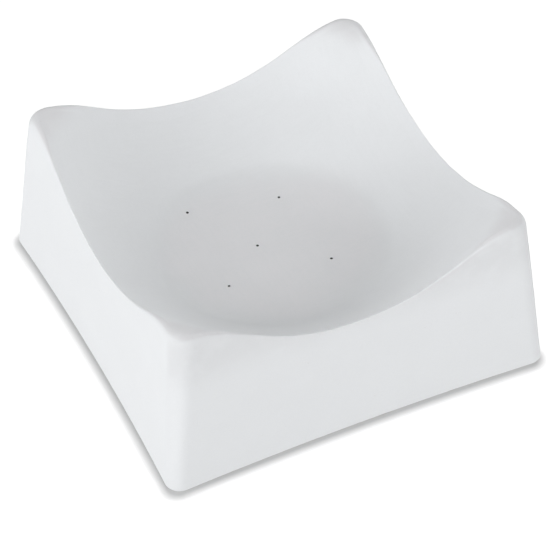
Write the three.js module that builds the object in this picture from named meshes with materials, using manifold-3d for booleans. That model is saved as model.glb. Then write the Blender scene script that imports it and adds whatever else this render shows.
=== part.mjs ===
// Square slump mold: a hollow plaster casting with a round-floored forming face, four raised
// corner peaks and five air vents, and the thin release coat brushed over that face.
//
// Frame: millimetres, +Z up, origin on the resting plane under the middle of the foot.
// The front wall faces -Y. The coat never moves on the casting, so the part has no joints.

import * as THREE from "three";
import { mergeVertices } from "three/addons/utils/BufferGeometryUtils.js";
import Module from "manifold-3d";

// ---------------------------------------------------------------- driving dimensions

const FOOT_HALF = 150; // half the side of the square foot
const PEAK_LIMIT = 130.8; // height that the forming face levels out to at the corners
const DRAFT = THREE.MathUtils.degToRad(5.9); // lean of the outer walls

const CORNER_RADIUS_FOOT = 11; // upright corners, at the foot
const CORNER_RADIUS_TOP = 15; // upright corners, at the peaks
const BOW_FOOT = 3.5; // how far each side bends in at its middle, at the foot
const BOW_TOP = 4.5; // the same, at the rim

const FLANK_RADIUS = 193; // sphere of the forming face's flank
const FLANK_CENTRE = 230.9; // height of that sphere's centre
const FLANK_TANGENT = 120; // nearer to the axis than this, the flank runs on straight
const FLOOR_HEIGHT = 50.4; // lowest point of the forming face
const FLOOR_REACH = 90; // distance from the axis to the line where floor and flank meet
const FLOOR_RISE = 5; // how far the floor has risen there
const FLOOR_POWER = 4; // the floor is nearly flat in its middle and curves up at its edge
const FLOOR_BLEND = 3; // softness of the line where floor and flank meet
const PEAK_BLEND = 18.8; // softness of the roll-over towards the peaks

const RIM_SETBACK_SIDE = 2; // reach of the rim rounding at mid-side, both ways
const RIM_SETBACK_PEAK = 9; // its reach over the forming face at a peak
const RIM_DROP_PEAK = 9; // its reach down the wall at a peak
const SIDE_RIM_RADIUS = 138; // distance from the axis to the rim at mid-side
const PEAK_RIM_RADIUS = 190; // distance from the axis to the rim at a peak

const WALL = 18; // thickness of the walls, and width of the foot
const DECK = 18; // upright thickness of the casting under the forming face
const CAVITY_CORNER_RADIUS = 20; // upright corners of the hollow underneath
const CAVITY_SETBACK = 12; // rounding between the hollow's walls and its roof
const FOOT_ROUND = 1.5; // rounding of the foot's two edges

const VENT_RADIUS = 1;
const VENTS = [[-9, 6], [-41.5, 60], [28.5, 47], [33.5, -31], [-46.5, -24.5]]; // drilled by hand

const COAT_THICKNESS = 0.5;
const COAT_GAP = 0.35; // clearance between the coat and the casting
const COAT_MARGIN = 3; // how far inside the rim rounding the coat ends
const COAT_VENT_RADIUS = 1.5; // the coat is kept clear of each vent

const CORNER_STEPS = 6;
const SIDE_STEPS = 10;
const FORMING_RINGS = 12;
const EDGE_STEPS = 5;
const WALL_RINGS = 3;
const ROUND_STEPS = 2;
const ROOF_RINGS = 8;
const VENT_SIDES = 12;

const QUARTER = CORNER_STEPS + SIDE_STEPS;
const RING = 4 * QUARTER;
const FULL_HEIGHT = 130;

// ---------------------------------------------------------------- shape of the object

const lerp = THREE.MathUtils.lerp;

/** Smooth maximum of two heights, with a blend of the given height. */
function softMax(a, b, blend) {
  return 0.5 * (a + b + Math.hypot(a - b, blend));
}

/** Height of the flank: a sphere, with a straight run inside the tangent distance. */
function flankHeight(radius) {
  const outer = Math.max(radius, FLANK_TANGENT);
  const slope = FLANK_TANGENT / Math.sqrt(FLANK_RADIUS ** 2 - FLANK_TANGENT ** 2);
  const sphere = FLANK_CENTRE - Math.sqrt(Math.max(FLANK_RADIUS ** 2 - outer ** 2, 0));
  return sphere + slope * (radius - outer);
}

/** Height of the forming face at a distance from the axis. */
function formingHeight(radius) {
  const floor = FLOOR_HEIGHT + FLOOR_RISE * (radius / FLOOR_REACH) ** FLOOR_POWER;
  const dish = softMax(floor, flankHeight(radius), FLOOR_BLEND);
  return -softMax(-dish, -PEAK_LIMIT, PEAK_BLEND);
}

/** Height of the hollow's roof at a distance from the axis. */
function roofHeight(radius) {
  return formingHeight(radius) - DECK;
}

/**
 * Point of the wall's plan outline at a height, moved in by an inset. The outline is four corner
 * arcs joined by four sides that bend in, and index counts round it anticlockwise.
 */
function wallPoint(index, height, inset) {
  const half = FOOT_HALF - height * Math.tan(DRAFT) - inset;
  const outerRadius = lerp(CORNER_RADIUS_FOOT, CORNER_RADIUS_TOP, height / FULL_HEIGHT);
  const radius = lerp(outerRadius, CAVITY_CORNER_RADIUS, inset / WALL);
  const bow = lerp(BOW_FOOT, BOW_TOP, height / FULL_HEIGHT);
  const centre = half - radius;
  const lean = 2 * Math.atan(bow / centre);
  const sideRadius = (centre - radius * Math.sin(lean)) / Math.sin(lean);
  const sideEnd = centre + radius * Math.cos(lean);
  const step = index % QUARTER;
  const point = new THREE.Vector2();
  if (step <= CORNER_STEPS) {
    const angle = lerp(-lean, Math.PI / 2 + lean, step / CORNER_STEPS);
    point.set(centre + radius * Math.cos(angle), centre + radius * Math.sin(angle));
  } else {
    const angle = lerp(lean, -lean, (step - CORNER_STEPS) / SIDE_STEPS);
    const sideCentre = sideEnd + sideRadius * Math.cos(lean);
    point.set(sideRadius * Math.sin(angle), sideCentre - sideRadius * Math.cos(angle));
  }
  return point.rotateAround(new THREE.Vector2(), Math.floor(index / QUARTER) * Math.PI / 2);
}

/** Point of the wall in space. */
function wallPoint3(index, height, inset) {
  const plan = wallPoint(index, height, inset);
  return new THREE.Vector3(plan.x, plan.y, height);
}

/** Sharp corner where the wall at an inset would meet a round surface, before it is rounded. */
function sharpCorner(index, inset, surfaceHeight) {
  let height = surfaceHeight(SIDE_RIM_RADIUS);
  for (let pass = 0; pass < 12; pass += 1) {
    height = surfaceHeight(wallPoint(index, height, inset).length());
  }
  return wallPoint3(index, height, inset);
}

/** The rounding that replaces a sharp corner: setback along the surface, drop down the wall. */
function roundedCorner(index, inset, surfaceHeight, setback, drop) {
  const corner = sharpCorner(index, inset, surfaceHeight);
  const radius = Math.hypot(corner.x, corner.y);
  const scale = (radius - 1) / radius;
  const inward = new THREE.Vector3(corner.x * scale, corner.y * scale, surfaceHeight(radius - 1));
  const down = wallPoint3(index, corner.z - 1, inset);
  const start = corner.clone().add(inward.sub(corner).setLength(setback));
  const end = corner.clone().add(down.sub(corner).setLength(drop));
  const curve = new THREE.QuadraticBezierCurve3(start, corner, end);
  return curve.getPoints(EDGE_STEPS);
}

/** Rim rounding at one place: small along a side, large at a peak. */
function rimRounding(index) {
  const corner = sharpCorner(index, 0, formingHeight);
  const radius = Math.hypot(corner.x, corner.y);
  const share = THREE.MathUtils.clamp(
    (radius - SIDE_RIM_RADIUS) / (PEAK_RIM_RADIUS - SIDE_RIM_RADIUS), 0, 1);
  const setback = lerp(RIM_SETBACK_SIDE, RIM_SETBACK_PEAK, share);
  const drop = lerp(RIM_SETBACK_SIDE, RIM_DROP_PEAK, share);
  return roundedCorner(index, 0, formingHeight, setback, drop);
}

/** A point on a round surface, at a share of the way from the axis to a reach. */
function surfacePoint(direction, reach, share, surfaceHeight) {
  const radius = reach * share;
  return new THREE.Vector3(
    direction.x * radius, direction.y * radius, surfaceHeight(radius));
}

// ---------------------------------------------------------------- meshes and solids

/**
 * Closed mesh from a stack of rings, from the middle of the top to the middle of the bottom. Each
 * four-sided patch is split from its inner corner at index, so that stacked surfaces stay parallel.
 */
function stackMesh(topMiddle, rings, bottomMiddle) {
  const points = [topMiddle, ...rings.flat(), bottomMiddle];
  const last = points.length - 1;
  const at = (ring, index) => 1 + ring * RING + (index % RING);
  const planRadius = (ring) => Math.hypot(rings[ring][0].x, rings[ring][0].y);
  const faces = [];
  for (let ring = 0; ring < rings.length - 1; ring += 1) {
    const outward = planRadius(ring + 1) > planRadius(ring);
    for (let index = 0; index < RING; index += 1) {
      const [a, b] = [at(ring, index), at(ring + 1, index)];
      const [c, d] = [at(ring + 1, index + 1), at(ring, index + 1)];
      faces.push(...(outward ? [a, b, c, a, c, d] : [a, b, d, b, c, d]));
    }
  }
  for (let index = 0; index < RING; index += 1) {
    faces.push(0, at(0, index), at(0, index + 1));
    faces.push(last, at(rings.length - 1, index + 1), at(rings.length - 1, index));
  }
  const geometry = new THREE.BufferGeometry().setFromPoints(points);
  geometry.setIndex(faces);
  return geometry;
}

/** Turns a list of columns, one for each place round the part, into a list of rings. */
function ringsFromColumns(columns) {
  return columns[0].map((_, level) => columns.map((column) => column[level]));
}

/** Where the release coat ends, at one place round the rim. */
function coatReach(index) {
  const start = rimRounding(index)[0];
  return Math.hypot(start.x, start.y) - COAT_MARGIN;
}

/** Points from near the axis out to the coat's edge, lying on a surface. */
function formingColumn(index, surfaceHeight) {
  const start = rimRounding(index)[0];
  const direction = new THREE.Vector2(start.x, start.y).normalize();
  const reach = coatReach(index);
  const column = [];
  for (let ring = 1; ring <= FORMING_RINGS; ring += 1) {
    column.push(surfacePoint(direction, reach, ring / FORMING_RINGS, surfaceHeight));
  }
  return column;
}

/** Outside of the casting at one place, from the forming face over the rim and under the foot. */
function castingColumn(index) {
  const rim = rimRounding(index);
  const top = rim[rim.length - 1].z;
  const column = [...formingColumn(index, formingHeight), ...rim];
  for (let ring = 1; ring < WALL_RINGS; ring += 1) {
    column.push(wallPoint3(index, lerp(top, FOOT_ROUND, ring / WALL_RINGS), 0));
  }
  for (let step = 0; step <= ROUND_STEPS; step += 1) {
    const angle = (step / ROUND_STEPS) * (Math.PI / 2);
    const inset = FOOT_ROUND * (1 - Math.cos(angle));
    column.push(wallPoint3(index, FOOT_ROUND * (1 - Math.sin(angle)), inset));
  }
  for (let step = 0; step <= ROUND_STEPS; step += 1) {
    const angle = (step / ROUND_STEPS) * (Math.PI / 2);
    const inset = WALL - FOOT_ROUND * (1 - Math.sin(angle));
    column.push(wallPoint3(index, FOOT_ROUND * (1 - Math.cos(angle)), inset));
  }
  return [...column, ...cavityColumn(index)];
}

/** The hollow underneath at one place, from the foot up its wall and over its roof. */
function cavityColumn(index) {
  const corner = roundedCorner(index, WALL, roofHeight, CAVITY_SETBACK, CAVITY_SETBACK);
  corner.reverse();
  const column = [];
  for (let ring = 1; ring < WALL_RINGS; ring += 1) {
    column.push(wallPoint3(index, lerp(FOOT_ROUND, corner[0].z, ring / WALL_RINGS), WALL));
  }
  const end = corner[corner.length - 1];
  const direction = new THREE.Vector2(end.x, end.y).normalize();
  const reach = Math.hypot(end.x, end.y);
  column.push(...corner);
  for (let ring = ROOF_RINGS - 1; ring >= 1; ring -= 1) {
    column.push(surfacePoint(direction, reach, ring / ROOF_RINGS, roofHeight));
  }
  return column;
}

const RING_INDEXES = Array.from({ length: RING }, (_, index) => index);

function castingGeometry() {
  const rings = ringsFromColumns(RING_INDEXES.map(castingColumn));
  const topMiddle = new THREE.Vector3(0, 0, formingHeight(0));
  const bottomMiddle = new THREE.Vector3(0, 0, roofHeight(0));
  return stackMesh(topMiddle, rings, bottomMiddle);
}

function coatGeometry() {
  const underside = (radius) => formingHeight(radius) + COAT_GAP;
  const face = (radius) => underside(radius) + COAT_THICKNESS;
  const column = (index) => [
    ...formingColumn(index, face),
    ...formingColumn(index, underside).reverse(),
  ];
  const rings = ringsFromColumns(RING_INDEXES.map(column));
  const topMiddle = new THREE.Vector3(0, 0, face(0));
  const bottomMiddle = new THREE.Vector3(0, 0, underside(0));
  return stackMesh(topMiddle, rings, bottomMiddle);
}

const wasm = await Module();
wasm.setup();

function solidFrom(geometry) {
  const bare = geometry.clone();
  bare.deleteAttribute("normal");
  bare.deleteAttribute("uv");
  const merged = mergeVertices(bare);
  const vertProperties = new Float32Array(merged.attributes.position.array);
  const triVerts = new Uint32Array(merged.index.array);
  return new wasm.Manifold(new wasm.Mesh({ numProp: 3, vertProperties, triVerts }));
}

function geometryFrom(solid) {
  const mesh = solid.getMesh();
  const geometry = new THREE.BufferGeometry();
  geometry.setAttribute("position", new THREE.BufferAttribute(mesh.vertProperties, 3));
  geometry.setIndex(new THREE.BufferAttribute(mesh.triVerts, 1));
  return geometry;
}

/** The geometry with an upright hole at each vent. */
function withVents(geometry, radius) {
  let solid = solidFrom(geometry);
  for (const [x, y] of VENTS) {
    const drill = new THREE.CylinderGeometry(radius, radius, FULL_HEIGHT, VENT_SIDES);
    drill.rotateX(Math.PI / 2);
    drill.translate(x, y, FULL_HEIGHT / 2);
    solid = solid.subtract(solidFrom(drill));
  }
  return geometryFrom(solid);
}

// ---------------------------------------------------------------- the part

function makePiece(name, geometry, material) {
  geometry.computeVertexNormals();
  const mesh = new THREE.Mesh(geometry, material);
  mesh.name = name;
  return mesh;
}

const plaster = new THREE.MeshStandardMaterial({ color: 0xe6e7e8, roughness: 0.85, metalness: 0 });
const releaseWash = new THREE.MeshStandardMaterial({ color: 0xe3e4e5, roughness: 0.95, metalness: 0 });

const group = new THREE.Group();
group.add(makePiece("mold_body", withVents(castingGeometry(), VENT_RADIUS), plaster));
group.add(makePiece("release_coat", withVents(coatGeometry(), COAT_VENT_RADIUS), releaseWash));

export default group;
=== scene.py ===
import math

import bmesh
import bpy
import numpy as np
from mathutils import Matrix, Vector


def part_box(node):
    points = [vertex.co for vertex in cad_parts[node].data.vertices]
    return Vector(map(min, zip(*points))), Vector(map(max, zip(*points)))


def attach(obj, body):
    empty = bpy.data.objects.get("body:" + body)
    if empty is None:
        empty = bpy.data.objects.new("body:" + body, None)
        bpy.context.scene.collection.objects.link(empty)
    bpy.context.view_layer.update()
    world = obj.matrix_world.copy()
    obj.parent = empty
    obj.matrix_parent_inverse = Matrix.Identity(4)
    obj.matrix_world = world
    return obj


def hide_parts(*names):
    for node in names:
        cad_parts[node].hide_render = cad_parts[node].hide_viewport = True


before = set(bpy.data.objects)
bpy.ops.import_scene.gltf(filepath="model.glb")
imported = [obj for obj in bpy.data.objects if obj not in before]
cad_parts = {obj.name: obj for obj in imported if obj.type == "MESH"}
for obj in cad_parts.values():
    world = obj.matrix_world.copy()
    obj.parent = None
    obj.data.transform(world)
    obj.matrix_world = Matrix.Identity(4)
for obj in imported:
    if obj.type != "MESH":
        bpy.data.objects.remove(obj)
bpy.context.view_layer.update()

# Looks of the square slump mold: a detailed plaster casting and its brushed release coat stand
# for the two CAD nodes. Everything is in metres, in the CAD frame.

BODY = "root"
MM = 0.001


def add_object(name, data):
    """A new object in the scene that shows the mesh, camera or light."""
    added = bpy.data.objects.new(name, data)
    bpy.context.scene.collection.objects.link(added)
    return added


def direction(azimuth, elevation):
    """Unit vector away from the object, by degrees round from the front and up from the floor."""
    azimuth = math.radians(azimuth)
    elevation = math.radians(elevation)
    return Vector((
        math.sin(azimuth) * math.cos(elevation),
        -math.cos(azimuth) * math.cos(elevation),
        math.sin(elevation),
    ))


# ---------------------------------------------------------------- camera

CAMERA_AZIMUTH = -25.48
CAMERA_ELEVATION = 43.3
CAMERA_ROLL = -0.584
CAMERA_DISTANCE = 1.6892
CAMERA_TARGET = Vector((0.00178, -0.00085, 0.02068))
CAMERA_LENS = 147.73
CAMERA_SENSOR = 36.0
CAMERA_CLIP_END = 20.0


def make_camera():
    data = bpy.data.cameras.new("camera")
    data.lens = CAMERA_LENS
    data.sensor_width = CAMERA_SENSOR
    data.clip_end = CAMERA_CLIP_END
    camera = add_object("camera", data)
    back = direction(CAMERA_AZIMUTH, CAMERA_ELEVATION)
    camera.location = CAMERA_TARGET + back * CAMERA_DISTANCE
    aim = (-back).to_track_quat("-Z", "Y").to_matrix()
    roll = Matrix.Rotation(math.radians(CAMERA_ROLL), 3, "Z")
    camera.rotation_euler = (aim @ roll).to_euler()
    bpy.context.scene.camera = camera


make_camera()

# ---------------------------------------------------------------- shape of the object

# Walls: they lean in by the draft and bow in by so much at the middle of each side.
FOOT_ROUND = 1.5 * MM
DRAFT = math.radians(5.9)
CORNER_RADIUS_FOOT = 11 * MM
CORNER_RADIUS_TOP = 15 * MM
BOW_FOOT = 3.5 * MM
BOW_TOP = 4.5 * MM
FULL_HEIGHT = 130 * MM

# Forming face: a slightly dished floor, a sphere for its flank, and a limit that rounds the peaks.
FLANK_RADIUS = 193 * MM
FLANK_CENTRE = 230.9 * MM
FLANK_TANGENT = 120 * MM
FLOOR_REACH = 90 * MM
FLOOR_RISE = 5 * MM
FLOOR_POWER = 4
FLOOR_HEIGHT = 50.4 * MM
FLOOR_BLEND = 3 * MM
PEAK_LIMIT = 130.8 * MM
PEAK_BLEND = 18.8 * MM

# Rim: how far its rounding reaches in from the edge and down from it. It grows from the side values
# to the peak values between two distances from the axis.
RIM_SETBACK_SIDE = 1.2 * MM
RIM_SETBACK_PEAK = 9 * MM
RIM_DROP_PEAK = 9 * MM
SIDE_RIM_RADIUS = 138 * MM
PEAK_RIM_RADIUS = 190 * MM

# Hollow underneath.
WALL = 18 * MM
DECK = 18 * MM
CAVITY_CORNER_RADIUS = 20 * MM
CAVITY_SETBACK = 12 * MM

VENT_RADIUS = 1 * MM
VENT_FLARE = 0.12 * MM
VENTS = [(-9, 6), (-41.5, 60), (28.5, 47), (33.5, -31), (-46.5, -24.5)]  # drilled by hand, in mm

# Release wash: its fade and wander are shares of the reach, and its sink is in films.
COAT_FILM = 0.2 * MM
COAT_EMBED = 0.22 * MM
COAT_FADE = 0.12
COAT_SINK_AT_EDGE = -0.4
COAT_EDGE_WAVES = ((5, 0.4), (11, 2.1), (19, 0.9))
COAT_EDGE_WANDER = 0.003
COAT_VENT_RADIUS = 1.5 * MM
COAT_VENT_FLARE = 0.2 * MM

LOW, HIGH = (Vector(corner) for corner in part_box("mold_body"))
FOOT_HALF = (HIGH.x - LOW.x) / 2 + FOOT_ROUND * math.tan(DRAFT)

# Mesh steps. A ring has one point for each place round the part.
CORNER_STEPS = 26
SIDE_STEPS = 64
QUARTER = CORNER_STEPS + SIDE_STEPS
RING = 4 * QUARTER
INDEX = np.arange(RING)
FORMING_RINGS = 80
RIM_STEPS = 12
WALL_STEPS = 34
FOOT_STEPS = 5
INNER_WALL_STEPS = 16
ROOF_EDGE_STEPS = 8
ROOF_RINGS = 40
CORNER_TRIES = 12


def lerp(low, high, share):
    return low + (high - low) * share


def unit(vectors):
    return vectors / np.linalg.norm(vectors, axis=-1, keepdims=True)


def soft_max(a, b, blend):
    return 0.5 * (a + b + np.hypot(a - b, blend))


def forming_height(radius):
    """Height of the forming face at a distance from the axis."""
    floor = FLOOR_HEIGHT + FLOOR_RISE * (radius / FLOOR_REACH)**FLOOR_POWER
    outer = np.maximum(radius, FLANK_TANGENT)
    slope = FLANK_TANGENT / math.sqrt(FLANK_RADIUS**2 - FLANK_TANGENT**2)
    sphere = FLANK_CENTRE - np.sqrt(np.maximum(FLANK_RADIUS**2 - outer**2, 0))
    flank = sphere + slope * (radius - outer)
    dish = soft_max(floor, flank, FLOOR_BLEND)
    return -soft_max(-dish, -PEAK_LIMIT, PEAK_BLEND)


def coat_height(radius):
    return forming_height(radius) + COAT_FILM


def roof_height(radius):
    return forming_height(radius) - DECK


def wall_points(height, inset):
    """Points round the wall, one for each place round the part, at those heights."""
    half = FOOT_HALF - height * math.tan(DRAFT) - inset
    outer = lerp(CORNER_RADIUS_FOOT, CORNER_RADIUS_TOP, height / FULL_HEIGHT)
    radius = lerp(outer, CAVITY_CORNER_RADIUS, inset / WALL)
    bow = lerp(BOW_FOOT, BOW_TOP, height / FULL_HEIGHT)
    centre = half - radius
    lean = 2 * np.arctan(bow / centre)
    side_radius = (centre - radius * np.sin(lean)) / np.sin(lean)
    side_centre = centre + (radius + side_radius) * np.cos(lean)
    step = INDEX % QUARTER
    corner_angle = lerp(-lean, math.pi / 2 + lean, step / CORNER_STEPS)
    side_angle = lerp(lean, -lean, (step - CORNER_STEPS) / SIDE_STEPS)
    on_corner = step <= CORNER_STEPS
    x = np.where(on_corner, centre + radius * np.cos(corner_angle), side_radius * np.sin(side_angle))
    y = np.where(
        on_corner,
        centre + radius * np.sin(corner_angle),
        side_centre - side_radius * np.cos(side_angle),
    )
    turn = (INDEX // QUARTER) * math.pi / 2
    return np.stack([
        x * np.cos(turn) - y * np.sin(turn),
        x * np.sin(turn) + y * np.cos(turn),
        height + 0 * x,
    ], axis=-1)


def plan_radius(points):
    return np.hypot(points[..., 0], points[..., 1])


def sharp_corners(inset, surface):
    """The ring where a round surface would meet the wall, found by going back and forth."""
    height = np.full(RING, surface(SIDE_RIM_RADIUS))
    for _ in range(CORNER_TRIES):
        height = surface(plan_radius(wall_points(height, inset)))
    return wall_points(height, inset)


def rounded_corners(inset, surface, setback, drop, steps):
    """Rings that round the sharp corner between a round surface and the wall."""
    corner = sharp_corners(inset, surface)
    radius = plan_radius(corner)
    inner = radius - MM
    inward = np.stack([
        corner[:, 0] * inner / radius,
        corner[:, 1] * inner / radius,
        surface(inner),
    ], axis=-1)
    down = wall_points(corner[:, 2] - MM, inset)
    start = corner + unit(inward - corner) * setback[:, None]
    end = corner + unit(down - corner) * drop[:, None]
    shares = np.linspace(0, 1, steps + 1)[:, None, None]
    return (1 - shares) ** 2 * start + 2 * shares * (1 - shares) * corner + shares**2 * end


def rim_rings():
    """Rings over the rim, which is rounder at the peaks than along the sides."""
    corner = sharp_corners(0.0, forming_height)
    share = (plan_radius(corner) - SIDE_RIM_RADIUS) / (PEAK_RIM_RADIUS - SIDE_RIM_RADIUS)
    share = np.clip(share, 0, 1)
    setback = lerp(RIM_SETBACK_SIDE, RIM_SETBACK_PEAK, share)
    drop = lerp(RIM_SETBACK_SIDE, RIM_DROP_PEAK, share)
    return rounded_corners(0.0, forming_height, setback, drop, RIM_STEPS)


def surface_rings(edge, shares, surface):
    """Rings on a round surface, at shares of the way from the axis to an edge ring."""
    reach = plan_radius(edge)
    radius = np.asarray(shares)[:, None] * reach
    outward = edge[:, :2] / reach[:, None]
    return np.concatenate([outward[None] * radius[..., None], surface(radius)[..., None]], axis=-1)


def wall_rings(top, bottom, inset, count):
    """Rings down a wall, between two rings of heights and without either end."""
    shares = np.arange(1, count) / count
    return np.stack([wall_points(lerp(top, bottom, share), inset) for share in shares])


def foot_rings():
    """Rings round both edges of the foot, from the outer wall to the wall of the hollow."""
    rings = []
    for angle in np.linspace(0, math.pi / 2, FOOT_STEPS + 1):
        height = FOOT_ROUND * (1 - math.sin(angle))
        rings.append(wall_points(np.full(RING, height), FOOT_ROUND * (1 - math.cos(angle))))
    for angle in np.linspace(0, math.pi / 2, FOOT_STEPS + 1):
        height = FOOT_ROUND * (1 - math.cos(angle))
        rings.append(wall_points(np.full(RING, height), WALL - FOOT_ROUND * (1 - math.sin(angle))))
    return np.stack(rings)


# ---------------------------------------------------------------- hand-made unevenness

UNEVENNESS = 0.13 * MM
UNEVENNESS_BELOW = 0.45 * MM
WAVE_COUNT = 18
SHORTEST_WAVE = 17 * MM
LONGEST_WAVE = 95 * MM
WAVE_GROWTH = 0.8
SETTLE_HEIGHT = 12 * MM

random = np.random.default_rng(11)
WAVE_LENGTHS = np.geomspace(SHORTEST_WAVE, LONGEST_WAVE, WAVE_COUNT)
WAVE_VECTORS = unit(random.normal(size=(WAVE_COUNT, 3))) * (2 * math.pi / WAVE_LENGTHS)[:, None]
WAVE_PHASES = random.uniform(0, 2 * math.pi, WAVE_COUNT)
WAVE_SIZES = (WAVE_LENGTHS / LONGEST_WAVE)[:, None] ** WAVE_GROWTH
WAVE_PUSHES = unit(random.normal(size=(WAVE_COUNT, 3))) * WAVE_SIZES


def uneven(points, amount):
    """The points as a hand-cast surface has them: a little off, but never at the foot."""
    points = np.asarray(points, float)
    shift = np.sin(points @ WAVE_VECTORS.T + WAVE_PHASES) @ WAVE_PUSHES
    settle = np.clip(points[..., 2:] / SETTLE_HEIGHT, 0, 1)
    return points + amount * settle * shift


def uneven_middle(height, amount):
    """The point on the axis at a height, as a hand-cast surface has it."""
    return uneven((0.0, 0.0, float(height)), amount)


# ---------------------------------------------------------------- meshes

SHARP_ANGLE = math.radians(40)
SLIVER = 0.015 * MM
DRILL_SIDES = 48
DRILL_START = -10 * MM
DRILL_CLEARANCE = 4 * MM
FLARE_PROFILE = ((-1.6, 0), (-0.5, 0.25), (0.4, 1))  # (up, out) from the mouth, in flares
FLARE_ABOVE = 2


def stack_mesh(name, rings, top_middle, bottom_middle):
    """Closed smooth mesh from rings that run from the middle of the top to that of the bottom."""
    count = len(rings)
    points = np.concatenate([[top_middle], rings.reshape(-1, 3), [bottom_middle]])
    last = len(points) - 1
    grid = 1 + np.arange(count)[:, None] * RING + INDEX[None]
    following = np.roll(grid, -1, axis=1)
    quads = np.stack([grid[:-1], grid[1:], following[1:], following[:-1]], axis=-1).reshape(-1, 4)
    top = [(0, int(a), int(b)) for a, b in zip(grid[0], following[0])]
    bottom = [(last, int(b), int(a)) for a, b in zip(grid[-1], following[-1])]
    mesh = bpy.data.meshes.new(name)
    mesh.from_pydata(points.tolist(), [], top + quads.tolist() + bottom)
    mesh.update()
    mesh.shade_smooth()
    return add_object(name, mesh)


def vent_drills(radius, flare, face):
    """One mesh of upright drills, each flared where it meets the face."""
    points = []
    faces = []
    for x, y in VENTS:
        centre = Vector((x * MM, y * MM, 0))
        mouth = float(face(centre.length))
        levels = [(DRILL_START, radius)]
        levels += [(mouth + up * flare, radius + out * flare) for up, out in FLARE_PROFILE]
        levels += [(mouth + DRILL_CLEARANCE, radius + FLARE_ABOVE * flare)]
        base = len(points)
        for height, width in levels:
            for side in range(DRILL_SIDES):
                angle = 2 * math.pi * side / DRILL_SIDES
                across = Vector((math.cos(angle), math.sin(angle), 0)) * width
                points.append(centre + across + Vector((0, 0, height)))
        for level in range(len(levels) - 1):
            for side in range(DRILL_SIDES):
                a = base + level * DRILL_SIDES + side
                b = base + level * DRILL_SIDES + (side + 1) % DRILL_SIDES
                faces.append((a, b, b + DRILL_SIDES, a + DRILL_SIDES))
        top = base + (len(levels) - 1) * DRILL_SIDES
        faces.append(tuple(base + side for side in reversed(range(DRILL_SIDES))))
        faces.append(tuple(top + side for side in range(DRILL_SIDES)))
    mesh = bpy.data.meshes.new("drills")
    mesh.from_pydata(points, [], faces)
    return add_object("drills", mesh)


def merge_slivers(mesh):
    """Removes the hair-thin faces that a cut leaves where two edges nearly meet."""
    work = bmesh.new()
    work.from_mesh(mesh)
    bmesh.ops.remove_doubles(work, verts=work.verts, dist=SLIVER)
    bmesh.ops.dissolve_degenerate(work, edges=work.edges, dist=SLIVER)
    many_sided = [face for face in work.faces if len(face.verts) > 4]
    bmesh.ops.triangulate(work, faces=many_sided, ngon_method="BEAUTY")
    work.to_mesh(mesh)
    work.free()


def drill(piece, radius, flare, face, bore_finish):
    """Cuts the vents, whose sides get the given bore finish: painted shade in the casting, the wash
    in the coat.
    """
    drills = vent_drills(radius, flare, face)
    drills.data.materials.append(bore_finish)
    cut = piece.modifiers.new("vents", "BOOLEAN")
    cut.operation = "DIFFERENCE"
    cut.solver = "EXACT"
    cut.material_mode = "TRANSFER"
    cut.object = drills
    bpy.context.view_layer.objects.active = piece
    bpy.ops.object.modifier_apply(modifier=cut.name)
    bpy.data.objects.remove(drills, do_unlink=True)
    merge_slivers(piece.data)
    piece.data.set_sharp_from_angle(angle=SHARP_ANGLE)


def make_casting(outside, hollow, shaded_bore):
    """The casting: forming face, rim, walls, foot, and the hollow in a rougher finish."""
    rim = rim_rings()
    forming = surface_rings(rim[0], np.arange(1, FORMING_RINGS) / FORMING_RINGS, forming_height)
    outer = wall_rings(rim[-1][:, 2], np.full(RING, FOOT_ROUND), 0.0, WALL_STEPS)
    setback = np.full(RING, CAVITY_SETBACK)
    roof_edge = rounded_corners(WALL, roof_height, setback, setback, ROOF_EDGE_STEPS)[::-1]
    inner = wall_rings(np.full(RING, FOOT_ROUND), roof_edge[0][:, 2], WALL, INNER_WALL_STEPS)
    roof = surface_rings(roof_edge[-1], np.arange(1, ROOF_RINGS) / ROOF_RINGS, roof_height)[::-1]
    seen = np.concatenate([forming, rim, outer, foot_rings()])
    unseen = np.concatenate([inner, roof_edge, roof])
    rings = np.concatenate([uneven(seen, UNEVENNESS), uneven(unseen, UNEVENNESS_BELOW)])
    top_middle = uneven_middle(forming_height(0.0), UNEVENNESS)
    bottom_middle = uneven_middle(roof_height(0.0), UNEVENNESS_BELOW)
    piece = stack_mesh("plaster_casting", rings, top_middle, bottom_middle)
    piece.data.materials.append(outside)
    piece.data.materials.append(hollow)
    first_unseen = RING * len(seen)
    for face in piece.data.polygons:
        face.material_index = int(face.index >= first_unseen)
    drill(piece, VENT_RADIUS, VENT_FLARE, forming_height, shaded_bore)
    return piece


def coat_edge(edge):
    """The edge of the brushed wash, which wanders a little inside the rim."""
    angle = np.arctan2(edge[:, 1], edge[:, 0])
    wander = sum(1 - np.cos(count * angle + phase) for count, phase in COAT_EDGE_WAVES)
    inside = 1 - COAT_EDGE_WANDER * wander
    return np.stack([edge[:, 0] * inside, edge[:, 1] * inside, edge[:, 2]], axis=-1)


def make_coat(wash):
    """A thin skin on the forming face that fades into it along its edge."""
    edge = coat_edge(rim_rings()[0])
    shares = np.arange(1, FORMING_RINGS + 1) / FORMING_RINGS
    fade = np.clip((1.0 - shares) / COAT_FADE, 0, 1)
    fade = fade * fade * (3 - 2 * fade)
    top = surface_rings(edge, shares, forming_height)
    bottom = top.copy()
    top[..., 2] += (lerp(COAT_SINK_AT_EDGE, 1.0, fade) * COAT_FILM)[:, None]
    bottom[..., 2] -= COAT_EMBED
    rings = uneven(np.concatenate([top, bottom[::-1]]), UNEVENNESS)
    top_middle = uneven_middle(coat_height(0.0), UNEVENNESS)
    bottom_middle = uneven_middle(forming_height(0.0) - COAT_EMBED, UNEVENNESS)
    piece = stack_mesh("release_wash", rings, top_middle, bottom_middle)
    piece.data.materials.append(wash)
    drill(piece, COAT_VENT_RADIUS, COAT_VENT_FLARE, coat_height, wash)
    return piece


# ---------------------------------------------------------------- materials

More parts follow.
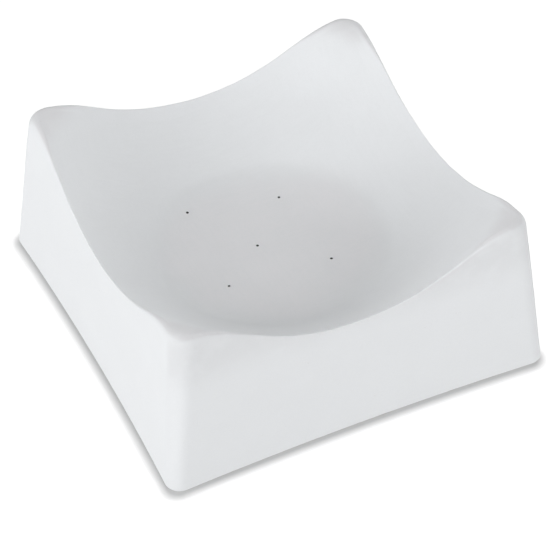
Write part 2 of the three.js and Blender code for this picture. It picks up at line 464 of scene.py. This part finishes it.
PLASTER_COLOUR = (0.836, 0.851, 0.867)
RAW_PLASTER_COLOUR = (0.82, 0.825, 0.826)
WASH_COLOUR = (0.842, 0.858, 0.873)
POOLED_WASH_COLOUR = (0.856, 0.857, 0.873)
# Pits and pores are painted darker, as shade in the holes.
PIT_SHADE_COLOUR = (0.5, 0.49, 0.47)
FOOT_COLOUR = (0.6, 0.59, 0.56)
# The vent bore is painted near black, as shade in the narrow hole.
BORE_SHADE_DARK = (0.09, 0.087, 0.083)
BORE_SHADE_LIGHT = (0.19, 0.185, 0.178)
BORE_ROUGHNESS = 0.95
CLOUD_LIGHT = 1.012
CLOUD_DARK = 0.99
THIN_WASH = 0.96
MATT_SPECULAR = 0.2

# Noise scales are per metre, so a scale of 100 gives features of about 10 mm.
CLOUD_SCALE = 26
SPECKLE_SCALE = 900
SHEEN_SCALE = 90
CAST_ROUGHNESS_LOW = 0.84
CAST_ROUGHNESS_HIGH = 0.93
GRAIN_SCALE = 1300
GRAIN_DEPTH = 0.09 * MM
RIPPLE_SCALE = 130
RIPPLE_DEPTH = 0.14 * MM
CAST_GRAIN = 1.0
RAW_GRAIN = 2.5

PINHOLE_FLAT = 0.3
PIT_SPACING = 5 * MM
PIT_RADIUS = 0.42 * MM
PIT_DEPTH = 0.35 * MM
PIT_SHADE_STRENGTH = 0.4
CAST_PIT_SHARE = 0.2
RAW_PIT_SHARE = 0.5
PORE_SPACING = 1.3 * MM
PORE_RADIUS = 0.17 * MM
PORE_DEPTH = 0.14 * MM
PORE_SHARE = 0.4
PORE_SHADE_STRENGTH = 0.3

FOOT_RUB_LOW = 0.3 * MM
FOOT_RUB_HIGH = 2.2 * MM
FOOT_RUB = 0.4
FOOT_RUB_SCALE = 24
FOOT_PATCH_LOW = 0.35
FOOT_PATCH_HIGH = 0.7
# Painted shade on the up-facing tops of the peaks, in patches: they are darkened where less light
# falls on them.
SHADE_PATCH_SCALE = 70
SHADE_PATCH_LOW = 0.3
SHADE_PATCH_HIGH = 0.6
SHADE_PATCH_LEAST = 0.6
UPWARD_START = 0.7
UPWARD_FULL = 0.93
OUTWARD_FULL = 0.5
CREST_SHADE_START = 112 * MM
CREST_SHADE_FULL = 121 * MM
CREST_SHADE_TINT = (0.955, 0.942, 0.943)
# Painted shade on the upper parts of the two walls that face along y, darker towards the top where
# less light reaches.
WALL_SHADE_START = 76 * MM
WALL_SHADE_FULL = 112 * MM
WALL_SHADE_TINT = (0.925, 0.922, 0.922)

POOL_INSIDE = 62 * MM
POOL_OUTSIDE = 92 * MM
POOL_WANDER = 9 * MM
POOL_SCALE = 18
STROKE_SCALE = 55
STROKE_LOW = 0.3
STROKE_HIGH = 0.7
STROKE_TURN_SCALE = 14
STROKE_STRETCH = 9
STROKE_TONE = 0.24
STROKE_DEPTH = 0.022 * MM
WASH_CLOUD_SCALE = 24
WASH_SHEEN_SCALE = 110
WASH_ROUGHNESS_LOW = 0.88
WASH_ROUGHNESS_HIGH = 0.96
CHALK_SCALE = 800
CHALK_TONE = 0.15
CHALK_GRAIN_SCALE = 1500
CHALK_GRAIN_DEPTH = 0.07 * MM
NIB_SCALE = 320
NIB_DEPTH = 0.06 * MM
STREAK_SCALE = 500
STREAK_STRETCH = 0.15
STREAK_LOW = 0.3
STREAK_HIGH = 0.7
STREAK_DEPTH = 0.08 * MM


class Finish:
    """A matt material whose colour, roughness and relief are worked out by nodes."""

    def __init__(self, name, specular=MATT_SPECULAR):
        self.material = bpy.data.materials.new(name)
        self.material.use_nodes = True
        self.nodes = self.material.node_tree.nodes
        self.links = self.material.node_tree.links
        self.shader = self.nodes["Principled BSDF"]
        self.shader.inputs["Specular IOR Level"].default_value = specular
        coordinates = self.nodes.new("ShaderNodeTexCoord")
        self.place = coordinates.outputs["Object"]
        self.x, self.y, self.z = self.split(self.place)
        self.facing = coordinates.outputs["Normal"]

    def split(self, vector):
        node = self.nodes.new("ShaderNodeSeparateXYZ")
        self.links.new(vector, node.inputs["Vector"])
        return node.outputs

    def feed(self, socket, value):
        if isinstance(value, bpy.types.NodeSocket):
            self.links.new(value, socket)
        elif isinstance(value, tuple):
            socket.default_value = (*value, 1)
        else:
            socket.default_value = value

    def calc(self, operation, *values):
        node = self.nodes.new("ShaderNodeMath")
        node.operation = operation
        for socket, value in zip(node.inputs, values):
            self.feed(socket, value)
        return node.outputs["Value"]

    def spread(self, value, low, high, to_low=0.0, to_high=1.0, kind="SMOOTHSTEP"):
        """The value moved from one range to another, and kept inside it."""
        node = self.nodes.new("ShaderNodeMapRange")
        node.interpolation_type = kind
        for name, number in (
            ("Value", value),
            ("From Min", low),
            ("From Max", high),
            ("To Min", to_low),
            ("To Max", to_high),
        ):
            self.feed(node.inputs[name], number)
        return node.outputs["Result"]

    def blend(self, share, first, second, kind="MIX"):
        node = self.nodes.new("ShaderNodeMix")
        node.data_type = "RGBA"
        node.blend_type = kind
        self.feed(node.inputs["Factor"], share)
        self.feed(node.inputs["A"], first)
        self.feed(node.inputs["B"], second)
        return node.outputs["Result"]

    def noise(self, scale, detail=3, rough=0.5, stretch=(1, 1, 1)):
        mapping = self.nodes.new("ShaderNodeMapping")
        mapping.inputs["Scale"].default_value = stretch
        self.links.new(self.place, mapping.inputs["Vector"])
        node = self.nodes.new("ShaderNodeTexNoise")
        node.inputs["Scale"].default_value = scale
        node.inputs["Detail"].default_value = detail
        node.inputs["Roughness"].default_value = rough
        self.links.new(mapping.outputs["Vector"], node.inputs["Vector"])
        return node.outputs["Fac"]

    def clouds(self, scale, detail=3, rough=0.5, edge=0.2, low=0.0, high=1.0):
        """Soft-edged noise: its middle, within that edge either way, fills the range."""
        return self.spread(self.noise(scale, detail, rough), 0.5 - edge, 0.5 + edge, low, high)

    def pinholes(self, spacing, radius, share):
        """1 in the middle of a pinhole and 0 outside it; only a share of the places has one."""
        node = self.nodes.new("ShaderNodeTexVoronoi")
        node.inputs["Scale"].default_value = 1 / spacing
        self.links.new(self.place, node.inputs["Vector"])
        chosen = self.calc("LESS_THAN", node.outputs["Color"], share)
        flat = PINHOLE_FLAT * radius / spacing
        depth = self.spread(node.outputs["Distance"], flat, radius / spacing, 1.0, 0.0)
        return self.calc("MULTIPLY", chosen, depth)

    def painted_shade(self, colour):
        """The colour with painted shade: darker on the up-facing tops of the peaks, and high on the
        two walls that face along y, both in patches.
        """
        facing = self.split(self.facing)
        noise = self.noise(SHADE_PATCH_SCALE)
        patches = self.spread(noise, SHADE_PATCH_LOW, SHADE_PATCH_HIGH, SHADE_PATCH_LEAST, 1.0)
        upward = self.spread(facing["Z"], UPWARD_START, UPWARD_FULL)
        top = self.calc("MULTIPLY", upward, self.spread(self.z, CREST_SHADE_START, CREST_SHADE_FULL))
        darkened = self.blend(self.calc("MULTIPLY", top, patches), colour, CREST_SHADE_TINT, "MULTIPLY")
        # Painted shade high on the walls that face along y, over the rim's rounding too.
        from_middle = self.calc("MULTIPLY", facing["Y"], self.calc("SIGN", self.y))
        outward = self.spread(from_middle, 0.0, OUTWARD_FULL)
        wall_shade = self.calc("MULTIPLY", outward, self.spread(self.z, WALL_SHADE_START, WALL_SHADE_FULL))
        return self.blend(self.calc("MULTIPLY", wall_shade, patches), darkened, WALL_SHADE_TINT, "MULTIPLY")

    def relief(self, layers):
        """Bumps in metres, one after another, each as (height from 0 to 1, depth)."""
        normal = None
        for height, depth in layers:
            bump = self.nodes.new("ShaderNodeBump")
            bump.inputs["Distance"].default_value = depth
            self.feed(bump.inputs["Height"], height)
            if normal is not None:
                self.links.new(normal, bump.inputs["Normal"])
            normal = bump.outputs["Normal"]
        self.links.new(normal, self.shader.inputs["Normal"])

    def finish(self, colour, roughness):
        self.feed(self.shader.inputs["Base Color"], colour)
        self.feed(self.shader.inputs["Roughness"], roughness)
        return self.material


def cast_plaster(name, colour, grain, pit_share):
    """Dry cast plaster: faint clouds of tone, fine grain, stray pinholes with painted shade in them,
    a rubbed foot, and painted shade on the peaks and two walls.
    """
    finish = Finish(name)
    light = tuple(CLOUD_LIGHT * part for part in colour)
    dark = tuple(CLOUD_DARK * part for part in colour)
    clouds = finish.clouds(CLOUD_SCALE, rough=0.55)
    speckle = finish.clouds(SPECKLE_SCALE, detail=2, edge=0.15)
    tone = finish.calc("MULTIPLY", finish.calc("ADD", clouds, speckle), 0.5)
    plaster = finish.blend(tone, dark, light)
    pores = finish.pinholes(PORE_SPACING, PORE_RADIUS, PORE_SHARE)
    pits = finish.pinholes(PIT_SPACING, PIT_RADIUS, pit_share)
    # Painted shade in the pores and pits; their relief is real.
    pore_shaded = finish.blend(finish.calc("MULTIPLY", pores, PORE_SHADE_STRENGTH), plaster, PIT_SHADE_COLOUR)
    pit_shaded = finish.blend(finish.calc("MULTIPLY", pits, PIT_SHADE_STRENGTH), pore_shaded, PIT_SHADE_COLOUR)
    low = finish.spread(finish.z, FOOT_RUB_LOW, FOOT_RUB_HIGH, 1.0, 0.0)
    noise = finish.noise(FOOT_RUB_SCALE, detail=4, rough=0.6)
    patches = finish.spread(noise, FOOT_PATCH_LOW, FOOT_PATCH_HIGH)
    darkened = finish.calc("MULTIPLY", finish.calc("MULTIPLY", low, patches), FOOT_RUB)
    # The foot's patches are wear; the call below then adds painted shade on the peaks' tops and high
    # on two walls.
    colour = finish.painted_shade(finish.blend(darkened, pit_shaded, FOOT_COLOUR))
    roughness = finish.clouds(SHEEN_SCALE, low=CAST_ROUGHNESS_LOW, high=CAST_ROUGHNESS_HIGH)
    finish.relief([
        (finish.noise(GRAIN_SCALE, rough=0.6), GRAIN_DEPTH * grain),
        (finish.noise(RIPPLE_SCALE), RIPPLE_DEPTH * grain),
        (finish.calc("SUBTRACT", 1.0, pores), PORE_DEPTH),
        (finish.calc("SUBTRACT", 1.0, pits), PIT_DEPTH),
    ])
    return finish.finish(colour, roughness)


def brush_strokes(finish):
    """Strokes that run one way in some places and across it in others."""
    along = finish.noise(STROKE_SCALE, stretch=(1, STROKE_STRETCH, 1))
    across = finish.noise(STROKE_SCALE, stretch=(STROKE_STRETCH, 1, 1))
    turn = finish.clouds(STROKE_TURN_SCALE, detail=1, edge=0.08)
    first = finish.calc("MULTIPLY", along, turn)
    second = finish.calc("MULTIPLY", across, finish.calc("SUBTRACT", 1.0, turn))
    return finish.calc("ADD", first, second)


def brushed_wash(name, colour, pooled_colour):
    """Release wash: crossed brush strokes, a warmer tone where it pools, and a chalky grain."""
    finish = Finish(name)
    x_squared = finish.calc("POWER", finish.x, 2.0)
    y_squared = finish.calc("POWER", finish.y, 2.0)
    distance = finish.calc("SQRT", finish.calc("ADD", x_squared, y_squared))
    wander = finish.clouds(POOL_SCALE, detail=2, edge=0.3, low=-POOL_WANDER, high=POOL_WANDER)
    pooled = finish.spread(finish.calc("ADD", distance, wander), POOL_INSIDE, POOL_OUTSIDE, 1.0, 0.0)
    base = finish.blend(pooled, colour, pooled_colour)
    strokes = brush_strokes(finish)
    clouds = finish.clouds(WASH_CLOUD_SCALE, rough=0.55)
    shade = finish.calc("ADD", finish.spread(strokes, STROKE_LOW, STROKE_HIGH), clouds)
    chalk = finish.clouds(CHALK_SCALE, detail=2, edge=0.15, low=-CHALK_TONE, high=CHALK_TONE)
    tone = finish.calc("ADD", finish.calc("MULTIPLY", shade, STROKE_TONE), chalk)
    thin = tuple(THIN_WASH * part for part in colour)
    finish.relief([
        (strokes, STROKE_DEPTH),
        (finish.noise(CHALK_GRAIN_SCALE, rough=0.6), CHALK_GRAIN_DEPTH),
        (finish.noise(NIB_SCALE, detail=2), NIB_DEPTH),
    ])
    roughness = finish.clouds(WASH_SHEEN_SCALE, low=WASH_ROUGHNESS_LOW, high=WASH_ROUGHNESS_HIGH)
    # The last step adds painted shade to the wash on the up-facing tops of the peaks.
    return finish.finish(finish.painted_shade(finish.blend(tone, base, thin)), roughness)


def vent_bore_shade(name):
    """The inside of a vent, painted near black as the shade in a narrow hole, darker in streaks."""
    finish = Finish(name)
    noise = finish.noise(STREAK_SCALE, rough=0.6, stretch=(1, 1, STREAK_STRETCH))
    streaks = finish.spread(noise, STREAK_LOW, STREAK_HIGH)
    finish.relief([(streaks, STREAK_DEPTH)])
    return finish.finish(finish.blend(streaks, BORE_SHADE_DARK, BORE_SHADE_LIGHT), BORE_ROUGHNESS)


# ---------------------------------------------------------------- pieces

shaded_bore = vent_bore_shade("vent_bore_shade")
outside = cast_plaster("cast_plaster", PLASTER_COLOUR, CAST_GRAIN, CAST_PIT_SHARE)
hollow = cast_plaster("raw_plaster", RAW_PLASTER_COLOUR, RAW_GRAIN, RAW_PIT_SHARE)
wash = brushed_wash("brushed_wash", WASH_COLOUR, POOLED_WASH_COLOUR)

casting = make_casting(outside, hollow, shaded_bore)
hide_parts("mold_body")
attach(casting, BODY)

coat = make_coat(wash)
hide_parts("release_coat")
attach(coat, BODY)

# ---------------------------------------------------------------- floor

# The near glow starts and ends so far outside the foot. The dark it leaves there is the contact
# shadow, which is moved a little to the front left, where it is wider.
GROUND_SIZE = 6.0
GROUND_DROP = 0.1 * MM
GROUND_COLOUR = (0.6, 0.6, 0.6)
GROUND_ROUGHNESS = 0.9
GROUND_SPECULAR = 0.5
GLOW_COLOUR = (1, 1, 1)
NEAR_GLOW = 0.65
NEAR_GLOW_START = -1.8 * MM
NEAR_GLOW_END = 6.3 * MM
GLOW_SHIFT_X = -2.4 * MM
GLOW_SHIFT_Y = -3.4 * MM
FAR_GLOW = 0.35
FAR_GLOW_START = 0.3
FAR_GLOW_END = 2.5


def past_side(finish, across, along):
    """How far a place lies past the straight part of a bowed side, and 0 inside it."""
    share = finish.calc("POWER", finish.calc("DIVIDE", along, FOOT_HALF), 2.0)
    middle = finish.calc("SUBTRACT", 1.0, finish.calc("MINIMUM", share, 1.0))
    bow = finish.calc("MULTIPLY", middle, BOW_FOOT)
    wide = finish.calc("ADD", finish.calc("ABSOLUTE", across), bow)
    return finish.calc("MAXIMUM", finish.calc("SUBTRACT", wide, FOOT_HALF - CORNER_RADIUS_FOOT), 0.0)


def floor_material():
    """Pale floor that glows a little, except under the object and close to its foot."""
    finish = Finish("pale_floor", GROUND_SPECULAR)
    x = finish.calc("SUBTRACT", finish.x, GLOW_SHIFT_X)
    y = finish.calc("SUBTRACT", finish.y, GLOW_SHIFT_Y)
    past_x = finish.calc("POWER", past_side(finish, x, y), 2.0)
    past_y = finish.calc("POWER", past_side(finish, y, x), 2.0)
    distance = finish.calc("SQRT", finish.calc("ADD", past_x, past_y))
    start = CORNER_RADIUS_FOOT + NEAR_GLOW_START
    end = CORNER_RADIUS_FOOT + NEAR_GLOW_END
    near = finish.spread(distance, start, end, to_high=NEAR_GLOW, kind="LINEAR")
    far = finish.spread(distance, FAR_GLOW_START, FAR_GLOW_END, to_high=FAR_GLOW, kind="LINEAR")
    finish.feed(finish.shader.inputs["Emission Color"], GLOW_COLOUR)
    finish.feed(finish.shader.inputs["Emission Strength"], finish.calc("ADD", near, far))
    return finish.finish(GROUND_COLOUR, GROUND_ROUGHNESS)


def make_floor():
    """The floor. Its bounce light is left to the world, which shines from below instead."""
    size = GROUND_SIZE
    corners = [(-size, -size, 0), (size, -size, 0), (size, size, 0), (-size, size, 0)]
    mesh = bpy.data.meshes.new("floor")
    mesh.from_pydata(corners, [], [(0, 1, 2, 3)])
    mesh.materials.append(floor_material())
    floor = add_object("floor", mesh)
    floor.location.z = -GROUND_DROP
    floor.visible_diffuse = False


make_floor()

# ---------------------------------------------------------------- light

WORLD_LIGHT = 0.7
BELOW_LIGHT = 0.9
BELOW_FADE_START = -0.02
HORIZON_FADE_START = 0.17
HORIZON_FADE_END = 0.31
LIGHT_AIM = Vector((0, 0, 0.06))
SOFTBOX_DISTANCE = 2.2

# Each softbox: name, azimuth and elevation in degrees, width, height, power in watts.
SOFTBOXES = [
    ("left_low", -90, 12, 1.6, 0.8, 11.1),
    ("front_low", 0, 12, 1.6, 0.8, 2.5),
    ("right_back_low", 135, 12, 1.6, 0.8, 13.8),
    ("left_upper", -90, 42, 1.0, 0.8, 1.9),
    ("front_left_high", -45, 27, 0.9, 0.6, 3.8),
    ("left_high", -90, 27, 0.9, 0.6, 7.5),
    ("front_right_high", 22, 27, 0.9, 0.6, 12.4),
    ("overhead", 0, 90, 1.6, 1.6, 21.4),
]


def make_softbox(name, azimuth, elevation, width, height, power):
    """A rectangular area light that looks at the object from a direction."""
    data = bpy.data.lights.new(name, "AREA")
    data.shape = "RECTANGLE"
    data.size = width
    data.size_y = height
    data.energy = power
    light = add_object(name, data)
    away = direction(azimuth, elevation)
    light.location = LIGHT_AIM + away * SOFTBOX_DISTANCE
    light.rotation_euler = (-away).to_track_quat("-Z", "Y").to_euler()


def make_world():
    """A glow along the horizon that fades out above it, and one from below for the floor's bounce."""
    world = bpy.data.worlds.new("studio")
    world.use_nodes = True
    nodes = world.node_tree.nodes
    links = world.node_tree.links
    ray = nodes.new("ShaderNodeSeparateXYZ")
    links.new(nodes.new("ShaderNodeTexCoord").outputs["Generated"], ray.inputs["Vector"])

    def by_height(kind, low, high, to_low, to_high):
        fade = nodes.new("ShaderNodeMapRange")
        fade.interpolation_type = kind
        fade.inputs["From Min"].default_value = low
        fade.inputs["From Max"].default_value = high
        fade.inputs["To Min"].default_value = to_low
        fade.inputs["To Max"].default_value = to_high
        links.new(ray.outputs["Z"], fade.inputs["Value"])
        return fade.outputs["Result"]

    band = by_height("SMOOTHSTEP", HORIZON_FADE_START, HORIZON_FADE_END, 1.0, 0.0)
    level = by_height("LINEAR", BELOW_FADE_START, 0.0, BELOW_LIGHT, WORLD_LIGHT)
    strength = nodes.new("ShaderNodeMath")
    strength.operation = "MULTIPLY"
    links.new(band, strength.inputs[0])
    links.new(level, strength.inputs[1])
    background = nodes["Background"]
    background.inputs["Color"].default_value = (1, 1, 1, 1)
    links.new(strength.outputs["Value"], background.inputs["Strength"])
    bpy.context.scene.world = world


for softbox in SOFTBOXES:
    make_softbox(*softbox)
make_world()
bpy.context.scene.view_settings.view_transform = "Standard"
